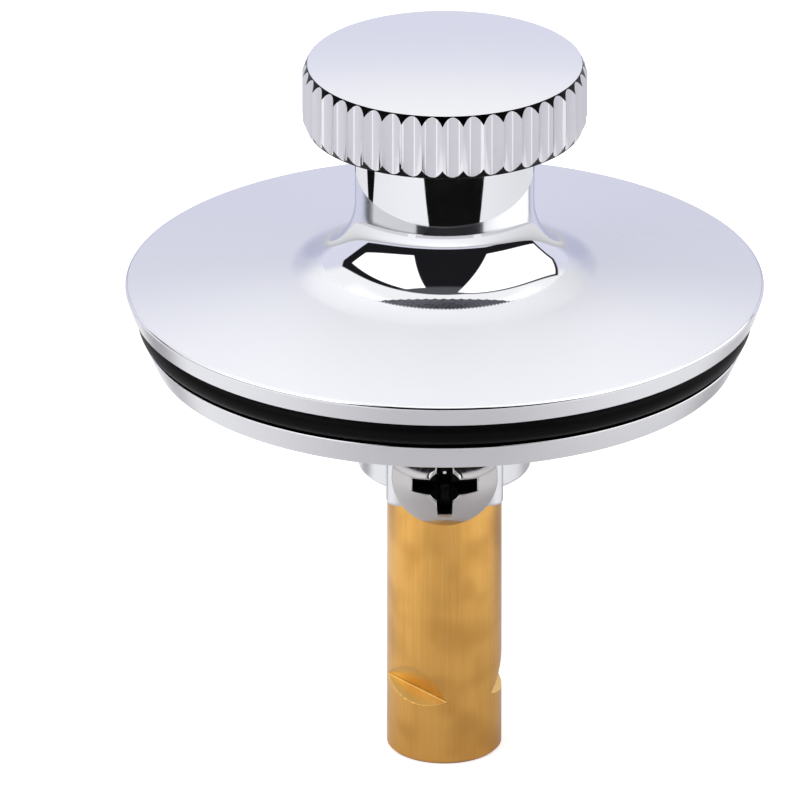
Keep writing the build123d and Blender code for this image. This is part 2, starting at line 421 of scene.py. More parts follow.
@dataclass(frozen=True)
class BuffedChromePlate(ChromePlate):
    """Chrome on a casting whose open disc is buffed satin, with a mirror left on the flare, the neck and the rim.

    The buffed face glows evenly when it is looked down on, and gets clearer and more metallic along a glance, as
    fine satin does. Each stop is a share of the glance with the value there. The mirror ends in a finely toothed
    edge, a little in front of the axis.
    """

    roughness_stops: tuple[tuple[float, float], ...] = ((0.51, 0.5), (0.63, 0.3), (0.70, 0.19))
    metal_stops: tuple[tuple[float, float], ...] = ((0.51, 0.12), (0.63, 0.85), (0.70, 1.0))
    mirror_centre_mm: float = -0.4
    mirror_radius_mm: float = 10.2
    edge_mm: float = 0.12
    tooth_mm: float = 0.035
    teeth: float = 200.0
    above_mm: float = 41.4
    satin_end_mm: float = 26.2
    satin_tint: str = "ECEDF2"

    def paint(self, nodes: Nodes, place: Socket) -> dict[object, object]:
        """Works out what fills the shader.

        Args:
            nodes: The material's nodes.
            place: Object coordinates.

        Returns:
            Names of the shader's inputs and their values.
        """
        mirror = super().paint(nodes, place)
        x, y, z = nodes.add("SeparateXYZ", inputs={0: place}).outputs
        forward = nodes.calc("SUBTRACT", y, self.mirror_centre_mm * MM)
        around = nodes.calc("ARCTAN2", x, forward)
        wave = nodes.calc("SINE", nodes.calc("MULTIPLY", around, self.teeth))
        away = nodes.calc("ADD", nodes.length(x, forward), nodes.calc("MULTIPLY", wave, self.tooth_mm * MM))
        face = nodes.product(
            nodes.step(away, (self.mirror_radius_mm - self.edge_mm) * MM, (self.mirror_radius_mm + self.edge_mm) * MM),
            nodes.calc("GREATER_THAN", z, self.above_mm * MM),
            nodes.calc("LESS_THAN", nodes.length(x, y), self.satin_end_mm * MM),
        )
        glance = nodes.add("LayerWeight", inputs={"Blend": 0.5}).outputs["Facing"]
        satin, metal = (
            nodes.ramp(glance, [(share, grey(level)) for share, level in stops], "EASE")
            for stops in (self.roughness_stops, self.metal_stops)
        )
        return {
            "Metallic": nodes.mix(face, mirror["Metallic"], metal, "FLOAT"),
            "Base Color": nodes.mix(face, mirror["Base Color"], linear(self.satin_tint)),
            "Roughness": nodes.mix(face, mirror["Roughness"], satin, "FLOAT"),
        }


@dataclass(frozen=True)
class PaintedShadePlate(ChromePlate):
    """Chrome with painted shade in its colour, half rough: a painted dark reflection on the knob's chamfers, and
    painted shade under the knob and in the screw's recess.
    """

    name: str = "knob_chamfer_painted_shade"
    tint: str = "0C0C0D"
    roughness: float = 0.3
    haze_mm: float = 0.5


@dataclass(frozen=True)
class DrawnBrass(Finish):
    """Bare brass tube as drawn through a die: satin gold, faint lines along it, a few cloudy stains."""

    name: str = "drawn_brass_tube"
    bright: str = "FFC76C"
    deep: str = "F8B85A"
    tarnish: str = "D09846"
    roughness: float = 0.24
    line_mm: float = 0.12
    line_length_mm: float = 9.0
    line_relief: float = 0.06
    stain_mm: float = 3.5
    shine: float = 0.3
    shine_roughness: float = 0.2

    def paint(self, nodes: Nodes, place: Socket) -> dict[object, object]:
        """Works out what fills the shader.

        Args:
            nodes: The material's nodes.
            place: Object coordinates.

        Returns:
            Names of the shader's inputs and their values.
        """
        stretch = (1.0, 1.0, self.line_mm / self.line_length_mm)
        along = nodes.add("Mapping", inputs={"Vector": place, "Scale": stretch}).outputs[0]
        lines = nodes.noise(along, self.line_mm, 3.0)
        stains = nodes.noise(place, self.stain_mm, 1.0)
        colour = nodes.ramp(lines, [(0.3, linear(self.deep)), (0.7, linear(self.bright))])
        amount = nodes.ramp(stains, [(0.4, grey(0.0)), (0.75, grey(0.6))], "EASE")
        return {
            "Metallic": 1.0,
            "Base Color": nodes.mix(amount, colour, linear(self.tarnish)),
            "Roughness": self.roughness,
            "Coat Weight": self.shine,
            "Coat Roughness": self.shine_roughness,
            "Normal": nodes.bump(lines, self.line_relief),
        }


@dataclass(frozen=True)
class MouldedRubber(Finish):
    """Black nitrile rubber from a polished mould: deep black with a broad soft shine."""

    name: str = "moulded_black_rubber"
    colour: str = "060607"
    roughness: float = 0.36
    shine: float = 0.07
    grain_mm: float = 0.25
    grain_relief: float = 0.1

    def paint(self, nodes: Nodes, place: Socket) -> dict[object, object]:
        """Rubber with a fine grain in its shine and its relief."""
        grain = nodes.noise(place, self.grain_mm)
        return {
            "Base Color": linear(self.colour),
            "Specular IOR Level": self.shine,
            "Roughness": nodes.span(grain, 0.0, 1.0, self.roughness * 0.75, self.roughness * 1.25),
            "Normal": nodes.bump(grain, self.grain_relief),
        }


@dataclass(frozen=True)
class MouldedNylon(Finish):
    """Natural nylon from a mould: waxy off-white with a faint cloud in it."""

    name: str = "moulded_natural_nylon"
    colour: str = "E9E4D6"
    cloud: str = "DDD6C4"
    roughness: float = 0.38
    cloud_mm: float = 2.0

    def paint(self, nodes: Nodes, place: Socket) -> dict[object, object]:
        """Nylon in two colours that cloud into each other."""
        stops = [(0.35, linear(self.colour)), (0.65, linear(self.cloud))]
        return {"Base Color": nodes.ramp(nodes.noise(place, self.cloud_mm), stops), "Roughness": self.roughness}


@dataclass(frozen=True)
class TurnedSteel(Finish):
    """Stainless steel, turned or drawn to wire: light grey metal with fine lathe marks."""

    name: str = "turned_stainless_steel"
    colour: str = "C9C7C3"
    roughness: float = 0.28
    mark_mm: float = 0.12

    def paint(self, nodes: Nodes, place: Socket) -> dict[object, object]:
        """Metal with fine marks in its roughness."""
        marks = nodes.noise(place, self.mark_mm, 1.0)
        return {
            "Metallic": 1.0,
            "Base Color": linear(self.colour),
            "Roughness": nodes.span(marks, 0.0, 1.0, self.roughness * 0.6, self.roughness * 1.4),
        }


@dataclass(frozen=True)
class Velvet(Finish):
    """Card without any shine."""

    colour: str = "0E0E0E"

    def paint(self, nodes: Nodes, place: Socket) -> dict[object, object]:
        """Nothing but its colour."""
        return {"Base Color": linear(self.colour), "Roughness": 1.0, "Specular IOR Level": 0.0}


@dataclass(frozen=True)
class PaperSweep(Velvet):
    """Pale paper of the floor, with a few soft darker spots of painted shade that the metal picks up.

    The camera sees it a little brighter than it is lit, so that the ground stays white. A spot is its place to the
    right and to the back, its half width and half depth, all in millimetres, and its shade.
    """

    name: str = "pale_paper_sweep"
    colour: str = "EAEAEC"
    spots: tuple[tuple[float, float, float, float, str], ...] = (
        (0.0, -45.0, 45.0, 70.0, "C0BEC1"),
        (37.0, 42.0, 26.0, 26.0, "BCBABD"),
        (-60.0, 42.0, 24.0, 20.0, "AAA8AB"),
    )
    spot_core: float = 0.2
    spot_end: float = 1.5
    lift: float = 0.62

    def paint(self, nodes: Nodes, place: Socket) -> dict[object, object]:
        """Works out what fills the shader.

        Args:
            nodes: The material's nodes.
            place: Object coordinates.

        Returns:
            Names of the shader's inputs and their values.
        """
        filling = super().paint(nodes, place)
        # Each spot paints shade into the floor's colour, for the metal to reflect.
        for across, back, half_width, half_depth, shade in self.spots:
            location = (-across / half_width, -back / half_depth, 0.0)
            scale = (1.0 / (half_width * MM), 1.0 / (half_depth * MM), 0.0)
            spot = nodes.add("Mapping", inputs={"Vector": place, "Location": location, "Scale": scale}).outputs[0]
            away = nodes.add("VectorMath", {"operation": "LENGTH"}, {0: spot}).outputs["Value"]
            share = nodes.step(away, self.spot_core, self.spot_end)
            filling["Base Color"] = nodes.mix(share, linear(shade), filling["Base Color"])
        seen = nodes.add("LightPath").outputs["Is Camera Ray"]
        filling["Emission Color"] = grey(1.0)
        filling["Emission Strength"] = nodes.calc("MULTIPLY", seen, self.lift)
        return filling


# Sub-assemblies


@dataclass(frozen=True)
class StopperBody:
    """The casting: disc with its rim groove, flared neck above it, hub with a flat screw pad below it."""

    columns: int = 720
    neck_top: float = 55.62
    neck_radius: float = 7.41
    flare_radius: float = 6.5
    cone_slope: float = math.radians(5.7)
    rim_radius: float = 26.5
    rim_height: float = 41.65
    lip_radius: float = 25.9
    groove_top: float = 39.86
    groove_radius: float = 23.13
    groove_foot: float = 37.51
    flange_top_radius: float = 25.0
    flange_radius: float = 24.0
    flange_foot: float = 35.31
    dish_radius: float = 21.03
    dish_roof: float = 38.71
    dish_rounding: float = 0.9
    hub_radius: float = 7.16
    hub_foot: float = 25.35
    pad_half_width: float = 4.84
    pad_face: float = 9.3
    pad_corner: float = 1.2
    bore_radius: float = 5.92
    web_foot: float = 52.25

    def hub_outline(self, azimuth: np.ndarray) -> np.ndarray:
        """Distance from the axis to the hub's wall: the larger of a circle and a box with rounded corners.

        Args:
            azimuth: Radians, one to a column.

        Returns:
            The distance in millimetres, one to a column.
        """
        across = np.abs(np.sin(azimuth))
        forward = np.cos(azimuth)
        face = self.pad_face / np.maximum(forward, 1e-6)
        side = self.pad_half_width / np.maximum(across, 1e-6)
        box = np.minimum(face, side)
        centre_x = self.pad_half_width - self.pad_corner
        centre_y = self.pad_face - self.pad_corner
        along = across * centre_x + forward * centre_y
        inside = along**2 - centre_x**2 - centre_y**2 + self.pad_corner**2
        corner = along + np.sqrt(np.maximum(inside, 0.0))
        past = (corner * across > centre_x) & (corner * forward > centre_y) & (inside > 0.0)
        box = np.where(past, np.minimum(box, corner), box)
        return np.where(forward > 0.1, np.maximum(self.hub_radius, box), self.hub_radius)

    def build(self) -> bpy.types.Object:
        """Makes the casting as one profile carried round the axis.

        Returns:
            The piece.
        """
        azimuth = round_trip(self.columns)
        hub = self.hub_outline(azimuth)
        slope = math.tan(self.cone_slope)
        cone_at_neck = self.rim_height + (self.rim_radius - self.neck_radius) * slope
        corners = [
            (0.0, self.neck_top, 0.0, 0),
            (self.neck_radius, self.neck_top, 0.1, 3),
            (self.neck_radius, cone_at_neck, self.flare_radius, 48),
            (self.rim_radius, self.rim_height, 0.26, 8),
            (self.lip_radius, self.groove_top, 0.12, 5),
            (self.groove_radius, self.groove_top, 0.15, 3),
            (self.groove_radius, self.groove_foot, 0.15, 3),
            (self.flange_top_radius, self.groove_foot, 0.1, 5),
            (self.flange_radius, self.flange_foot, 0.15, 5),
            (self.dish_radius, self.flange_foot, 0.2, 4),
            (self.dish_radius, self.dish_roof, self.dish_rounding, 8),
            (hub, self.dish_roof, self.dish_rounding, 8),
            (hub, self.hub_foot, 0.3, 5),
            (self.bore_radius, self.hub_foot, 0.3, 4),
            (self.bore_radius, self.web_foot, 0.1, 3),
            (0.0, self.web_foot, 0.0, 0),
        ]
        profile = rounded(corners, self.columns)
        finish = BuffedChromePlate(name="chrome_plated_casting")
        piece = make_piece("cast_body", [Grid(about_axis(profile, azimuth))], finish.build())
        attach(piece, "head")
        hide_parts("stopper_body")
        return piece


@dataclass(frozen=True)
class FlutedKnob:
    """The knob: slightly crowned face, chamfered rims, and flutes that are arcs meeting in sharp crests.

    Which finish a face of it gets goes by how much its normal points up: the chamfers and the underside get painted
    shade.
    """

    flutes: int = 43
    columns_a_flute: int = 24
    foot: float = 55.62
    height: float = 5.78
    crown: float = 0.22
    crest_radius: float = 11.78
    flute_depth: float = 0.38
    face_radius: float = 11.36
    foot_radius: float = 11.34
    top_slope: float = 2.0
    foot_slope: float = 2.05
    crest_width: float = 0.03
    crest_azimuth: float = math.radians(-1.0)
    face_margin: float = 0.04
    foot_margin: float = 0.05
    face_rounding: float = 0.05
    foot_rounding: float = 0.06
    crown_rows: int = 12
    crown_share: float = 0.98
    face_normal: float = 0.9
    wall_normal: float = 0.15
    underside_normal: float = -0.95

    def flute_radius(self, turn: np.ndarray) -> np.ndarray:
        """Distance from the axis to the fluted wall.

        A ray at a small angle t from a flute's middle meets its circle at c cos t - sqrt(p^2 - c^2 sin^2 t), where c
        is the circle's distance from the axis and p its radius. Where two flutes meet, a soft minimum of the two
        distances rounds the crest.

        Args:
            turn: Angle from a flute's middle, in radians.

        Returns:
            The distance in millimetres.
        """
        pitch = 2 * math.pi / self.flutes
        valley = self.crest_radius - self.flute_depth
        crest_x = self.crest_radius * math.cos(pitch / 2)
        crest_y = self.crest_radius * math.sin(pitch / 2)
        reach = crest_x - valley
        arc = (reach**2 + crest_y**2) / (2 * reach)
        centre = valley + arc

        def meet(angle: np.ndarray) -> np.ndarray:
            """Where a ray meets the flute's circle."""
            under = np.maximum(arc**2 - (centre * np.sin(angle)) ** 2, 0.0)
            return centre * np.cos(angle) - np.sqrt(under)

        near = meet(np.abs(turn))
        far = meet(pitch - np.abs(turn))
        low = np.minimum(near, far)
        both = np.exp(-(near - low) / self.crest_width) + np.exp(-(far - low) / self.crest_width)
        return low - self.crest_width * np.log(both)

    def face_height(self, radius: np.ndarray) -> np.ndarray:
        """Height of the crowned face: it falls with the square of the radius."""
        return self.foot + self.height - self.crown * (radius / self.face_radius) ** 2

    def build(self) -> bpy.types.Object:
        """Makes the knob as a profile that changes with the azimuth.

        Returns:
            The piece.
        """
        columns = self.flutes * self.columns_a_flute
        pitch = 2 * math.pi / self.flutes
        step = np.arange(columns) % self.columns_a_flute
        turn = (step / self.columns_a_flute - 0.5) * pitch
        azimuth = self.crest_azimuth + np.arange(columns) * pitch / self.columns_a_flute
        wall = self.flute_radius(turn)
        edge = np.minimum(self.face_radius, wall - self.face_margin)
        foot_edge = np.minimum(self.foot_radius, wall - self.foot_margin)
        crown = edge * np.linspace(0.0, self.crown_share, self.crown_rows)[:, None]
        corners = [
            (edge * NEAR_EDGE, self.face_height(edge * NEAR_EDGE), 0.0, 0),
            (edge, self.face_height(edge), self.face_rounding, 3),
            (wall, self.face_height(edge) - (wall - edge) * self.top_slope, self.face_rounding, 3),
            (wall, self.foot + (wall - foot_edge) * self.foot_slope, self.foot_rounding, 3),
            (foot_edge, self.foot, self.foot_rounding, 3),
            (0.0, self.foot, 0.0, 0),
        ]
        profile = np.concatenate([np.stack([crown, self.face_height(crown)], axis=-1), rounded(corners, columns)])
        finish = ChromePlate(name="chrome_plated_knob", roughness=0.05)
        piece = make_piece("fluted_knob", [Grid(about_axis(profile, azimuth))], finish.build())
        upward = face_facts(piece)[1][:, 2]
        downward = upward < self.underside_normal
        chamfers = (np.abs(upward) > self.wall_normal) & (upward < self.face_normal) & ~downward
        # The chamfers get painted shade: a dark reflection painted into their colour.
        give_faces(piece, PaintedShadePlate().build(), chamfers)
        # The underside gets painted shade: grey chrome for the shade under the knob.
        give_faces(piece, PaintedShadePlate(name="knob_underside_painted_shade", tint="6C6C70").build(), downward)
        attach(piece, "head")
        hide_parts("knob")
        return piece


@dataclass(frozen=True)
class RimSeal:
    """The O-ring in the groove of the rim."""

    columns: int = 480
    rows: int = 36
    ring_radius: float = 24.29
    section_radius: float = 1.13
    height: float = 38.685

    def build(self) -> bpy.types.Object:
        """Makes the ring: a circle of the section's radius carried round the axis.

        Returns:
            The piece.
        """
        azimuth = round_trip(self.columns)
        around = np.linspace(0.0, 2 * math.pi, self.rows + 1)[:, None]
        radius = self.ring_radius + self.section_radius * np.cos(around) + 0 * azimuth
        height = self.height + self.section_radius * np.sin(around) + 0 * azimuth
        profile = np.stack([radius, height], axis=-1)
        piece = make_piece("rim_o_ring", [Grid(about_axis(profile, azimuth))], MouldedRubber().build())
        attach(piece, "head")
        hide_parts("rim_seal")
        return piece


@dataclass(frozen=True)
class CamScrew:
    """Round head screw with a cross recess, whose plain point runs in the cam slot."""

    columns: int = 720
    height: float = 28.48
    seat: float = 9.3
    head_radius: float = 4.38
    rim_height: float = 0.9
    head_height: float = 3.2
    thread_radius: float = 2.41
    thread_end: float = 5.35
    point_radius: float = 1.5
    point_end: float = 3.0
    cross_span: float = 5.6
    slot_width: float = 1.35
    depth: float = 2.1
    taper: float = math.radians(9.0)
    core_radius: float = 1.45
    burr: float = 0.1
    burr_width: float = 0.24
    burr_rows: tuple[float, ...] = (0.03, 0.07, 0.12, 0.2, 0.3)
    pit_shares: tuple[float, ...] = (0.0, 0.3, 0.6, 0.95, 1.0)
    side_shares: tuple[float, ...] = (0.06, 0.3, 0.6, 0.9, 0.97, 1.0)
    # How far under the dome and past the cross the painted shade of the recess reaches.
    shade_depth: float = 0.12
    shade_margin: float = 0.1

    def dome(self, radius: np.ndarray) -> np.ndarray:
        """Height of the domed face over the seat: a circle's arc through the rim and the crown.

        Args:
            radius: Distance from the screw's axis.

        Returns:
            The height in millimetres.
        """
        rise = self.head_height - self.rim_height
        ball = (self.head_radius**2 + rise**2) / (2 * rise)
        return self.head_height - ball + np.sqrt(np.maximum(ball**2 - radius**2, 0.0))

    def recess(self, angle: np.ndarray, depth: np.ndarray) -> np.ndarray:
        """Outline of the recess at a depth: the larger of a tapered cross and a tapered round core.

        Args:
            angle: Radians round the screw's axis.
            depth: Millimetres below the crown of the head.

        Returns:
            The outline's distance from the screw's axis.
        """
        shrink = depth * math.tan(self.taper)
        half = self.slot_width / 2 - shrink
        reach = self.cross_span / 2 - shrink
        sine = np.maximum(np.abs(np.sin(angle)), 1e-6)
        cosine = np.maximum(np.abs(np.cos(angle)), 1e-6)
        level_bar = np.minimum(half / sine, reach / cosine)
        upright_bar = np.minimum(half / cosine, reach / sine)
        core = self.core_radius * (1 - depth / (self.depth + self.core_radius))
        return np.maximum(np.maximum(level_bar, upright_bar), core)

    def build(self) -> bpy.types.Object:
        """Makes the screw as rows of outlines round its own axis, from the recess's floor out and back.

        Returns:
            The piece.
        """
        angle = round_trip(self.columns)
        still = 0 * angle
        mouth = still + 1.0
        for _ in range(12):
            mouth = self.head_height - self.dome(self.recess(angle, mouth))
        floor = self.recess(angle, still + self.depth)
        pit = np.minimum(floor, self.core_radius * self.core_radius / (self.depth + self.core_radius))
        bottom = still + self.head_height - self.depth
        rows = [(still, bottom - self.core_radius)]
        rows += [(pit + (floor - pit) * share, bottom) for share in self.pit_shares]
        for share in self.side_shares:
            depth = self.depth + (mouth - self.depth) * share
            rows.append((self.recess(angle, depth), self.head_height - depth))
        lip = self.recess(angle, mouth)
        for out in self.burr_rows:
            radius = lip + out
            rise = self.burr * np.sin(np.clip(out / self.burr_width, 0.0, 1.0) * math.pi)
            rows.append((radius, self.dome(radius) + rise))
        for share in np.linspace(0.05, 0.97, 16):
            radius = (lip + self.burr_rows[-1]) + (self.head_radius - lip - self.burr_rows[-1]) * share
            rows.append((radius, self.dome(radius)))
        outer = np.stack([np.stack(row, axis=-1) for row in rows])
        near_edge = self.head_radius * NEAR_EDGE
        rest = rounded(
            [
                (near_edge, float(self.dome(np.array(near_edge))), 0.0, 0),
                (self.head_radius, self.rim_height, 0.25, 5),
                (self.head_radius, 0.0, 0.15, 4),
                (self.thread_radius, 0.0, 0.1, 3),
                (self.thread_radius, self.thread_end - self.seat, 0.2, 3),
                (self.point_radius, self.thread_end - self.seat, 0.1, 3),
                (self.point_radius, self.point_end - self.seat, 0.3, 4),
                (0.0, self.point_end - self.seat, 0.0, 0),
            ],
            self.columns,
        )
        profile = np.concatenate([outer, rest])
        across = profile[..., 0] * np.cos(angle)
        upward = profile[..., 0] * np.sin(angle) + self.height
        points = np.stack([across, -(self.seat + profile[..., 1]), upward], axis=-1)
        finish = ChromePlate(name="chrome_plated_screw", tint="D0CDCC", roughness=0.09, haze_mm=0.6)
        piece = make_piece("cam_screw_cross_recess", [Grid(points)], finish.build())
        centres, _ = face_facts(piece)
        off_axis = np.hypot(centres[:, 0], centres[:, 2] - self.height)
        over_seat = -centres[:, 1] - self.seat
        in_head = (over_seat > 0.02) & (off_axis < self.cross_span / 2 + self.shade_margin)
        in_core = (over_seat > -0.6) & (off_axis < self.core_radius)
        sunk = over_seat < self.dome(off_axis) - self.shade_depth
        # The recess walls get painted shade: dark, rough chrome stands in for the shade inside the recess.
        recess_shade = PaintedShadePlate(name="recess_painted_shade", tint="242426", roughness=0.55)
        give_faces(piece, recess_shade.build(), (in_head | in_core) & sunk)
        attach(piece, "head")
        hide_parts("cam_screw")
        return piece


@dataclass(frozen=True)
class Post:
    """The post: brass tube with a cam slot and three V shaped stakes, and the tapped insert in its foot.

    Levels are rows of the wall round the stakes: where a set starts, where it ends, and how many it has.
    """

    columns: int = 600
    radius: float = 4.7625
    bore_radius: float = 3.7625
    length: float = 50.95
    end_chamfer: float = 0.25
    stake_height: float = 6.4
    stake_depth: float = 1.19
    stake_upper_angle: float = math.radians(67.5)
    stake_lower_angle: float = math.radians(30.0)
    stake_twist: float = 0.35
    stake_edge: float = 0.06
    stake_reach: float = math.radians(70.0)
    levels_below: tuple[tuple[float, float, int], ...] = ((-3.0, -1.1, 6), (-1.0, -0.32, 14))
    levels_above: tuple[tuple[float, float, int], ...] = ((0.32, 3.0, 50), (3.1, 3.6, 3))
    level_crowd: float = 0.3
    struck_foot: float = 2.0
    struck_top: float = 10.5
    struck_skin: float = 0.03
    struck_slack: float = 0.08
    plane_tilt: float = math.radians(10.0)
    plane_low: float = math.radians(29.0)
    stake_azimuths: tuple[float, ...] = (-38.5, 96.5, 209.0)
    slot_half_width: float = 1.75
    slot_foot: float = 28.48
    slot_rise: float = 9.5
    slot_turn: float = math.radians(90.0)
    slot_landing: float = math.radians(10.0)
    slot_samples: int = 241
    slot_crowd: float = 0.05
    insert_length: float = 12.0
    insert_bore: float = 2.55
    waist_radius: float = 3.4525
    waist_top: float = 11.0
    waist_foot: float = 1.0
    waist_step: float = 0.4
    insert_gap: float = 0.005
    waist_gap: float = 0.0125
    plain_foot: float = 1.4
    plain_top: float = 1.0
    insert_columns: int = 96
    insert_rows: int = 161
    thread_root: float = 3.15
    thread_pitch: float = 1.27
    thread_steepness: float = 1.25
    thread_crest: float = 0.1
    thread_fade: float = 0.4

    def stake_rows(self, azimuth: np.ndarray, levels: np.ndarray) -> np.ndarray:
        """Wall of the tube on levels that run parallel to the tilted plane of the stakes.

        A stake's faces are s = tip + h / tan(upper angle) and s = tip - h / tan(lower angle), where s is the distance
        from the axis along the stake and h the height over the tilted plane. The first of them is twisted a little, so
        its tangent grows along the chord. A soft maximum of the two rounds the edge between them. Each column's point
        lies on the nearer of those faces and the round wall.

        Args:
            azimuth: Radians, one to a column.
            levels: Heights over the tilted plane, one to a row.

        Returns:
            Points (rows, columns, 2) of radius and height.
        """
        lean = np.array([math.sin(self.plane_low), -math.cos(self.plane_low), 0.0])
        up = np.array([0.0, 0.0, 1.0])
        normal = math.cos(self.plane_tilt) * up + math.sin(self.plane_tilt) * lean
        slope = math.cos(self.plane_tilt) * lean - math.sin(self.plane_tilt) * up
        level = np.cross(normal, slope)
        heading = np.stack([np.sin(azimuth), -np.cos(azimuth)], axis=-1)
        offset = levels[:, None]
        wall_height = self.stake_height + (offset - self.radius * (heading @ normal[:2])) / normal[2]
        radius = np.full(wall_height.shape, self.radius)
        height = wall_height.copy()
        for degrees in self.stake_azimuths:
            plan = math.radians(degrees)
            spread = plan - self.plane_low
            along = math.cos(spread) * slope + math.sin(spread) * level
            side = np.cross(normal, along)
            cross_side = side[0] * heading[:, 1] - side[1] * heading[:, 0]
            facing = np.abs(np.angle(np.exp(1j * (azimuth - plan)))) < self.stake_reach
            safe = np.where(facing, cross_side, 1.0)
            chord = self.radius * np.sin(azimuth - plan)
            for _ in range(2):
                upper = offset / (np.maximum(math.tan(self.stake_upper_angle) + self.stake_twist * chord, 0.5))
                lower = -offset / math.tan(self.stake_lower_angle)
                rise = self.stake_edge * np.logaddexp(upper / self.stake_edge, lower / self.stake_edge)
                tip = self.radius - self.stake_depth + rise
                base = tip[..., None] * along + offset[..., None] * normal
                cross_base = base[..., 0] * heading[:, 1] - base[..., 1] * heading[:, 0]
                chord = -cross_base / safe
            point = base + chord[..., None] * side
            cut = np.hypot(point[..., 0], point[..., 1])
            inside = facing & (cut < radius)
            radius = np.where(inside, cut, radius)
            height = np.where(inside, point[..., 2] + self.stake_height, height)
        return np.stack([radius, height], axis=-1)

    def slot_edges(self, azimuth: np.ndarray) -> tuple[np.ndarray, np.ndarray]:
        """Lower and upper edges of the cam slot over the unrolled wall.

        The slot is what a disc of its half width sweeps along a helix and then a level landing, so over each azimuth
        its edges are the lowest and highest points of the discs there. Away from the slot the two edges meet.

        Args:
            azimuth: Radians from -180 to 180 degrees, one to a column.

        Returns:
            Two arrays of heights.
        """
        share = np.linspace(0.0, 1.0, self.slot_samples)
        end = -self.slot_turn - self.slot_landing
        path = np.concatenate([-self.slot_turn * share, -self.slot_turn - self.slot_landing * share])
        rise = np.concatenate([self.slot_foot + self.slot_rise * share, 0 * share + self.slot_foot + self.slot_rise])
        gap = (azimuth[:, None] - path[None, :]) * self.radius
        reach = self.slot_half_width**2 - gap**2
        half = np.sqrt(np.maximum(reach, 0.0))
        lower = np.min(np.where(reach > 0, rise - half, 1e9), axis=1)
        upper = np.max(np.where(reach > 0, rise + half, -1e9), axis=1)
        outside = ~np.any(reach > 0, axis=1)
        margin = self.slot_half_width / self.radius
        span = 2 * math.pi + end - 2 * margin
        past = np.mod(azimuth - margin, 2 * math.pi)
        meet = self.slot_foot + self.slot_rise * np.clip(past / span, 0.0, 1.0)
        return np.where(outside, meet, lower), np.where(outside, meet, upper)

    def tube_columns(self) -> np.ndarray:
        """Azimuths of the tube's columns, closer together at the round ends of the slot.

        Returns:
            Radians, in rising order.
        """
        margin = self.slot_half_width / self.radius
        ends = (margin, -self.slot_turn - self.slot_landing - margin)
        near = self.slot_crowd * np.linspace(0.0, 1.0, 14) ** 2
        extra = np.concatenate([[ends[0] - near, ends[1] + near]]).ravel()
        return np.unique(np.round(np.concatenate([round_trip(self.columns), extra]), 7))

    def build_tube(self) -> bpy.types.Object:
        """Makes the tube: outer wall below and above the slot, the bore likewise, and the slot's own walls.

        Returns:
            The piece.
        """
        azimuth = self.tube_columns()
        columns = len(azimuth)
        lower, upper = self.slot_edges(azimuth)
        # Rows crowd together at the edge between a stake's two faces.
        crowd = self.level_crowd * np.linspace(-1.0, 1.0, 25) ** 3
        below, above = ([np.linspace(*levels) for levels in part] for part in (self.levels_below, self.levels_above))
        stakes = self.stake_rows(azimuth, np.concatenate([*below, crowd, *above]))
        chamfer = self.end_chamfer
        foot = rounded(
            [
                (self.bore_radius, 0.0, 0.0, 0),
                (self.radius - chamfer, 0.0, 0.03, 2),
                (self.radius, chamfer, 0.08, 3),
                (self.radius, self.plain_foot, 0.0, 0),
            ],
            columns,
        )

        def band(start: np.ndarray, end: np.ndarray, radius: float, rows: int) -> np.ndarray:
            """Makes rows of wall between two edges.

            Args:
                start: Heights of the first row.
                end: Heights of the last row.
                radius: The wall's radius.
                rows: How many rows there are.

            Returns:
                Points (rows, columns, 2) of radius and height.
            """
            share = np.linspace(0.0, 1.0, rows)[:, None]
            height = start[None, :] * (1 - share) + end[None, :] * share
            return np.stack([np.full(height.shape, radius), height], axis=-1)

        def level(height: float) -> np.ndarray:
            """The same height in every column."""
            return np.full(columns, height)

        outer_low = np.concatenate(
            [
                foot,
                band(level(self.plain_foot), stakes[0, :, 1], self.radius, 4)[1:-1],
                stakes,
                band(stakes[-1, :, 1], lower, self.radius, 14)[1:],
            ]
        )
        top = rounded(
            [
                (self.radius, self.length - self.plain_top, 0.0, 0),
                (self.radius, self.length - chamfer, 0.08, 3),
                (self.radius - chamfer, self.length, 0.03, 2),
                (self.bore_radius, self.length, 0.0, 0),
            ],
            columns,
        )
        outer_high = np.concatenate([band(upper, level(self.length - self.plain_top), self.radius, 8)[:-1], top])
        inner_high = band(level(self.length), upper, self.bore_radius, 6)
        inner_low = np.concatenate(
            [
                band(lower, level(self.insert_length), self.bore_radius, 6),
                band(level(self.waist_top), level(self.waist_foot), self.waist_radius, 3),
                band(level(self.waist_foot - self.waist_step), level(0.0), self.bore_radius, 2),
            ]
        )
        grids = [Grid(about_axis(part, azimuth)) for part in (outer_low, outer_high, inner_high, inner_low)]
        open_slot = np.flatnonzero(upper - lower > 1e-4)
        first, last = max(open_slot[0] - 1, 0), open_slot[-1] + 2
        for edge in (lower, upper):
            wall = np.stack([np.stack([level(side), edge], axis=-1) for side in (self.radius, self.bore_radius)])
            grids.append(Grid(about_axis(wall, azimuth)[:, first:last], Wrap.OPEN))
        piece = make_piece("brass_tube", grids, DrawnBrass().build())
        centres, _ = face_facts(piece)
        off_axis = np.hypot(centres[:, 0], centres[:, 1])
        struck = off_axis < self.radius - self.struck_skin
        struck &= off_axis > self.radius - self.stake_depth - self.struck_slack
        struck &= (centres[:, 2] > self.struck_foot) & (centres[:, 2] < self.struck_top)
        finish = DrawnBrass(name="struck_brass", bright="F4CC7C", deep="EAC06C", roughness=0.34, shine=0.0)
        give_faces(piece, finish.build(), struck)
        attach(piece, "post")
        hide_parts("post_tube")
        return piece

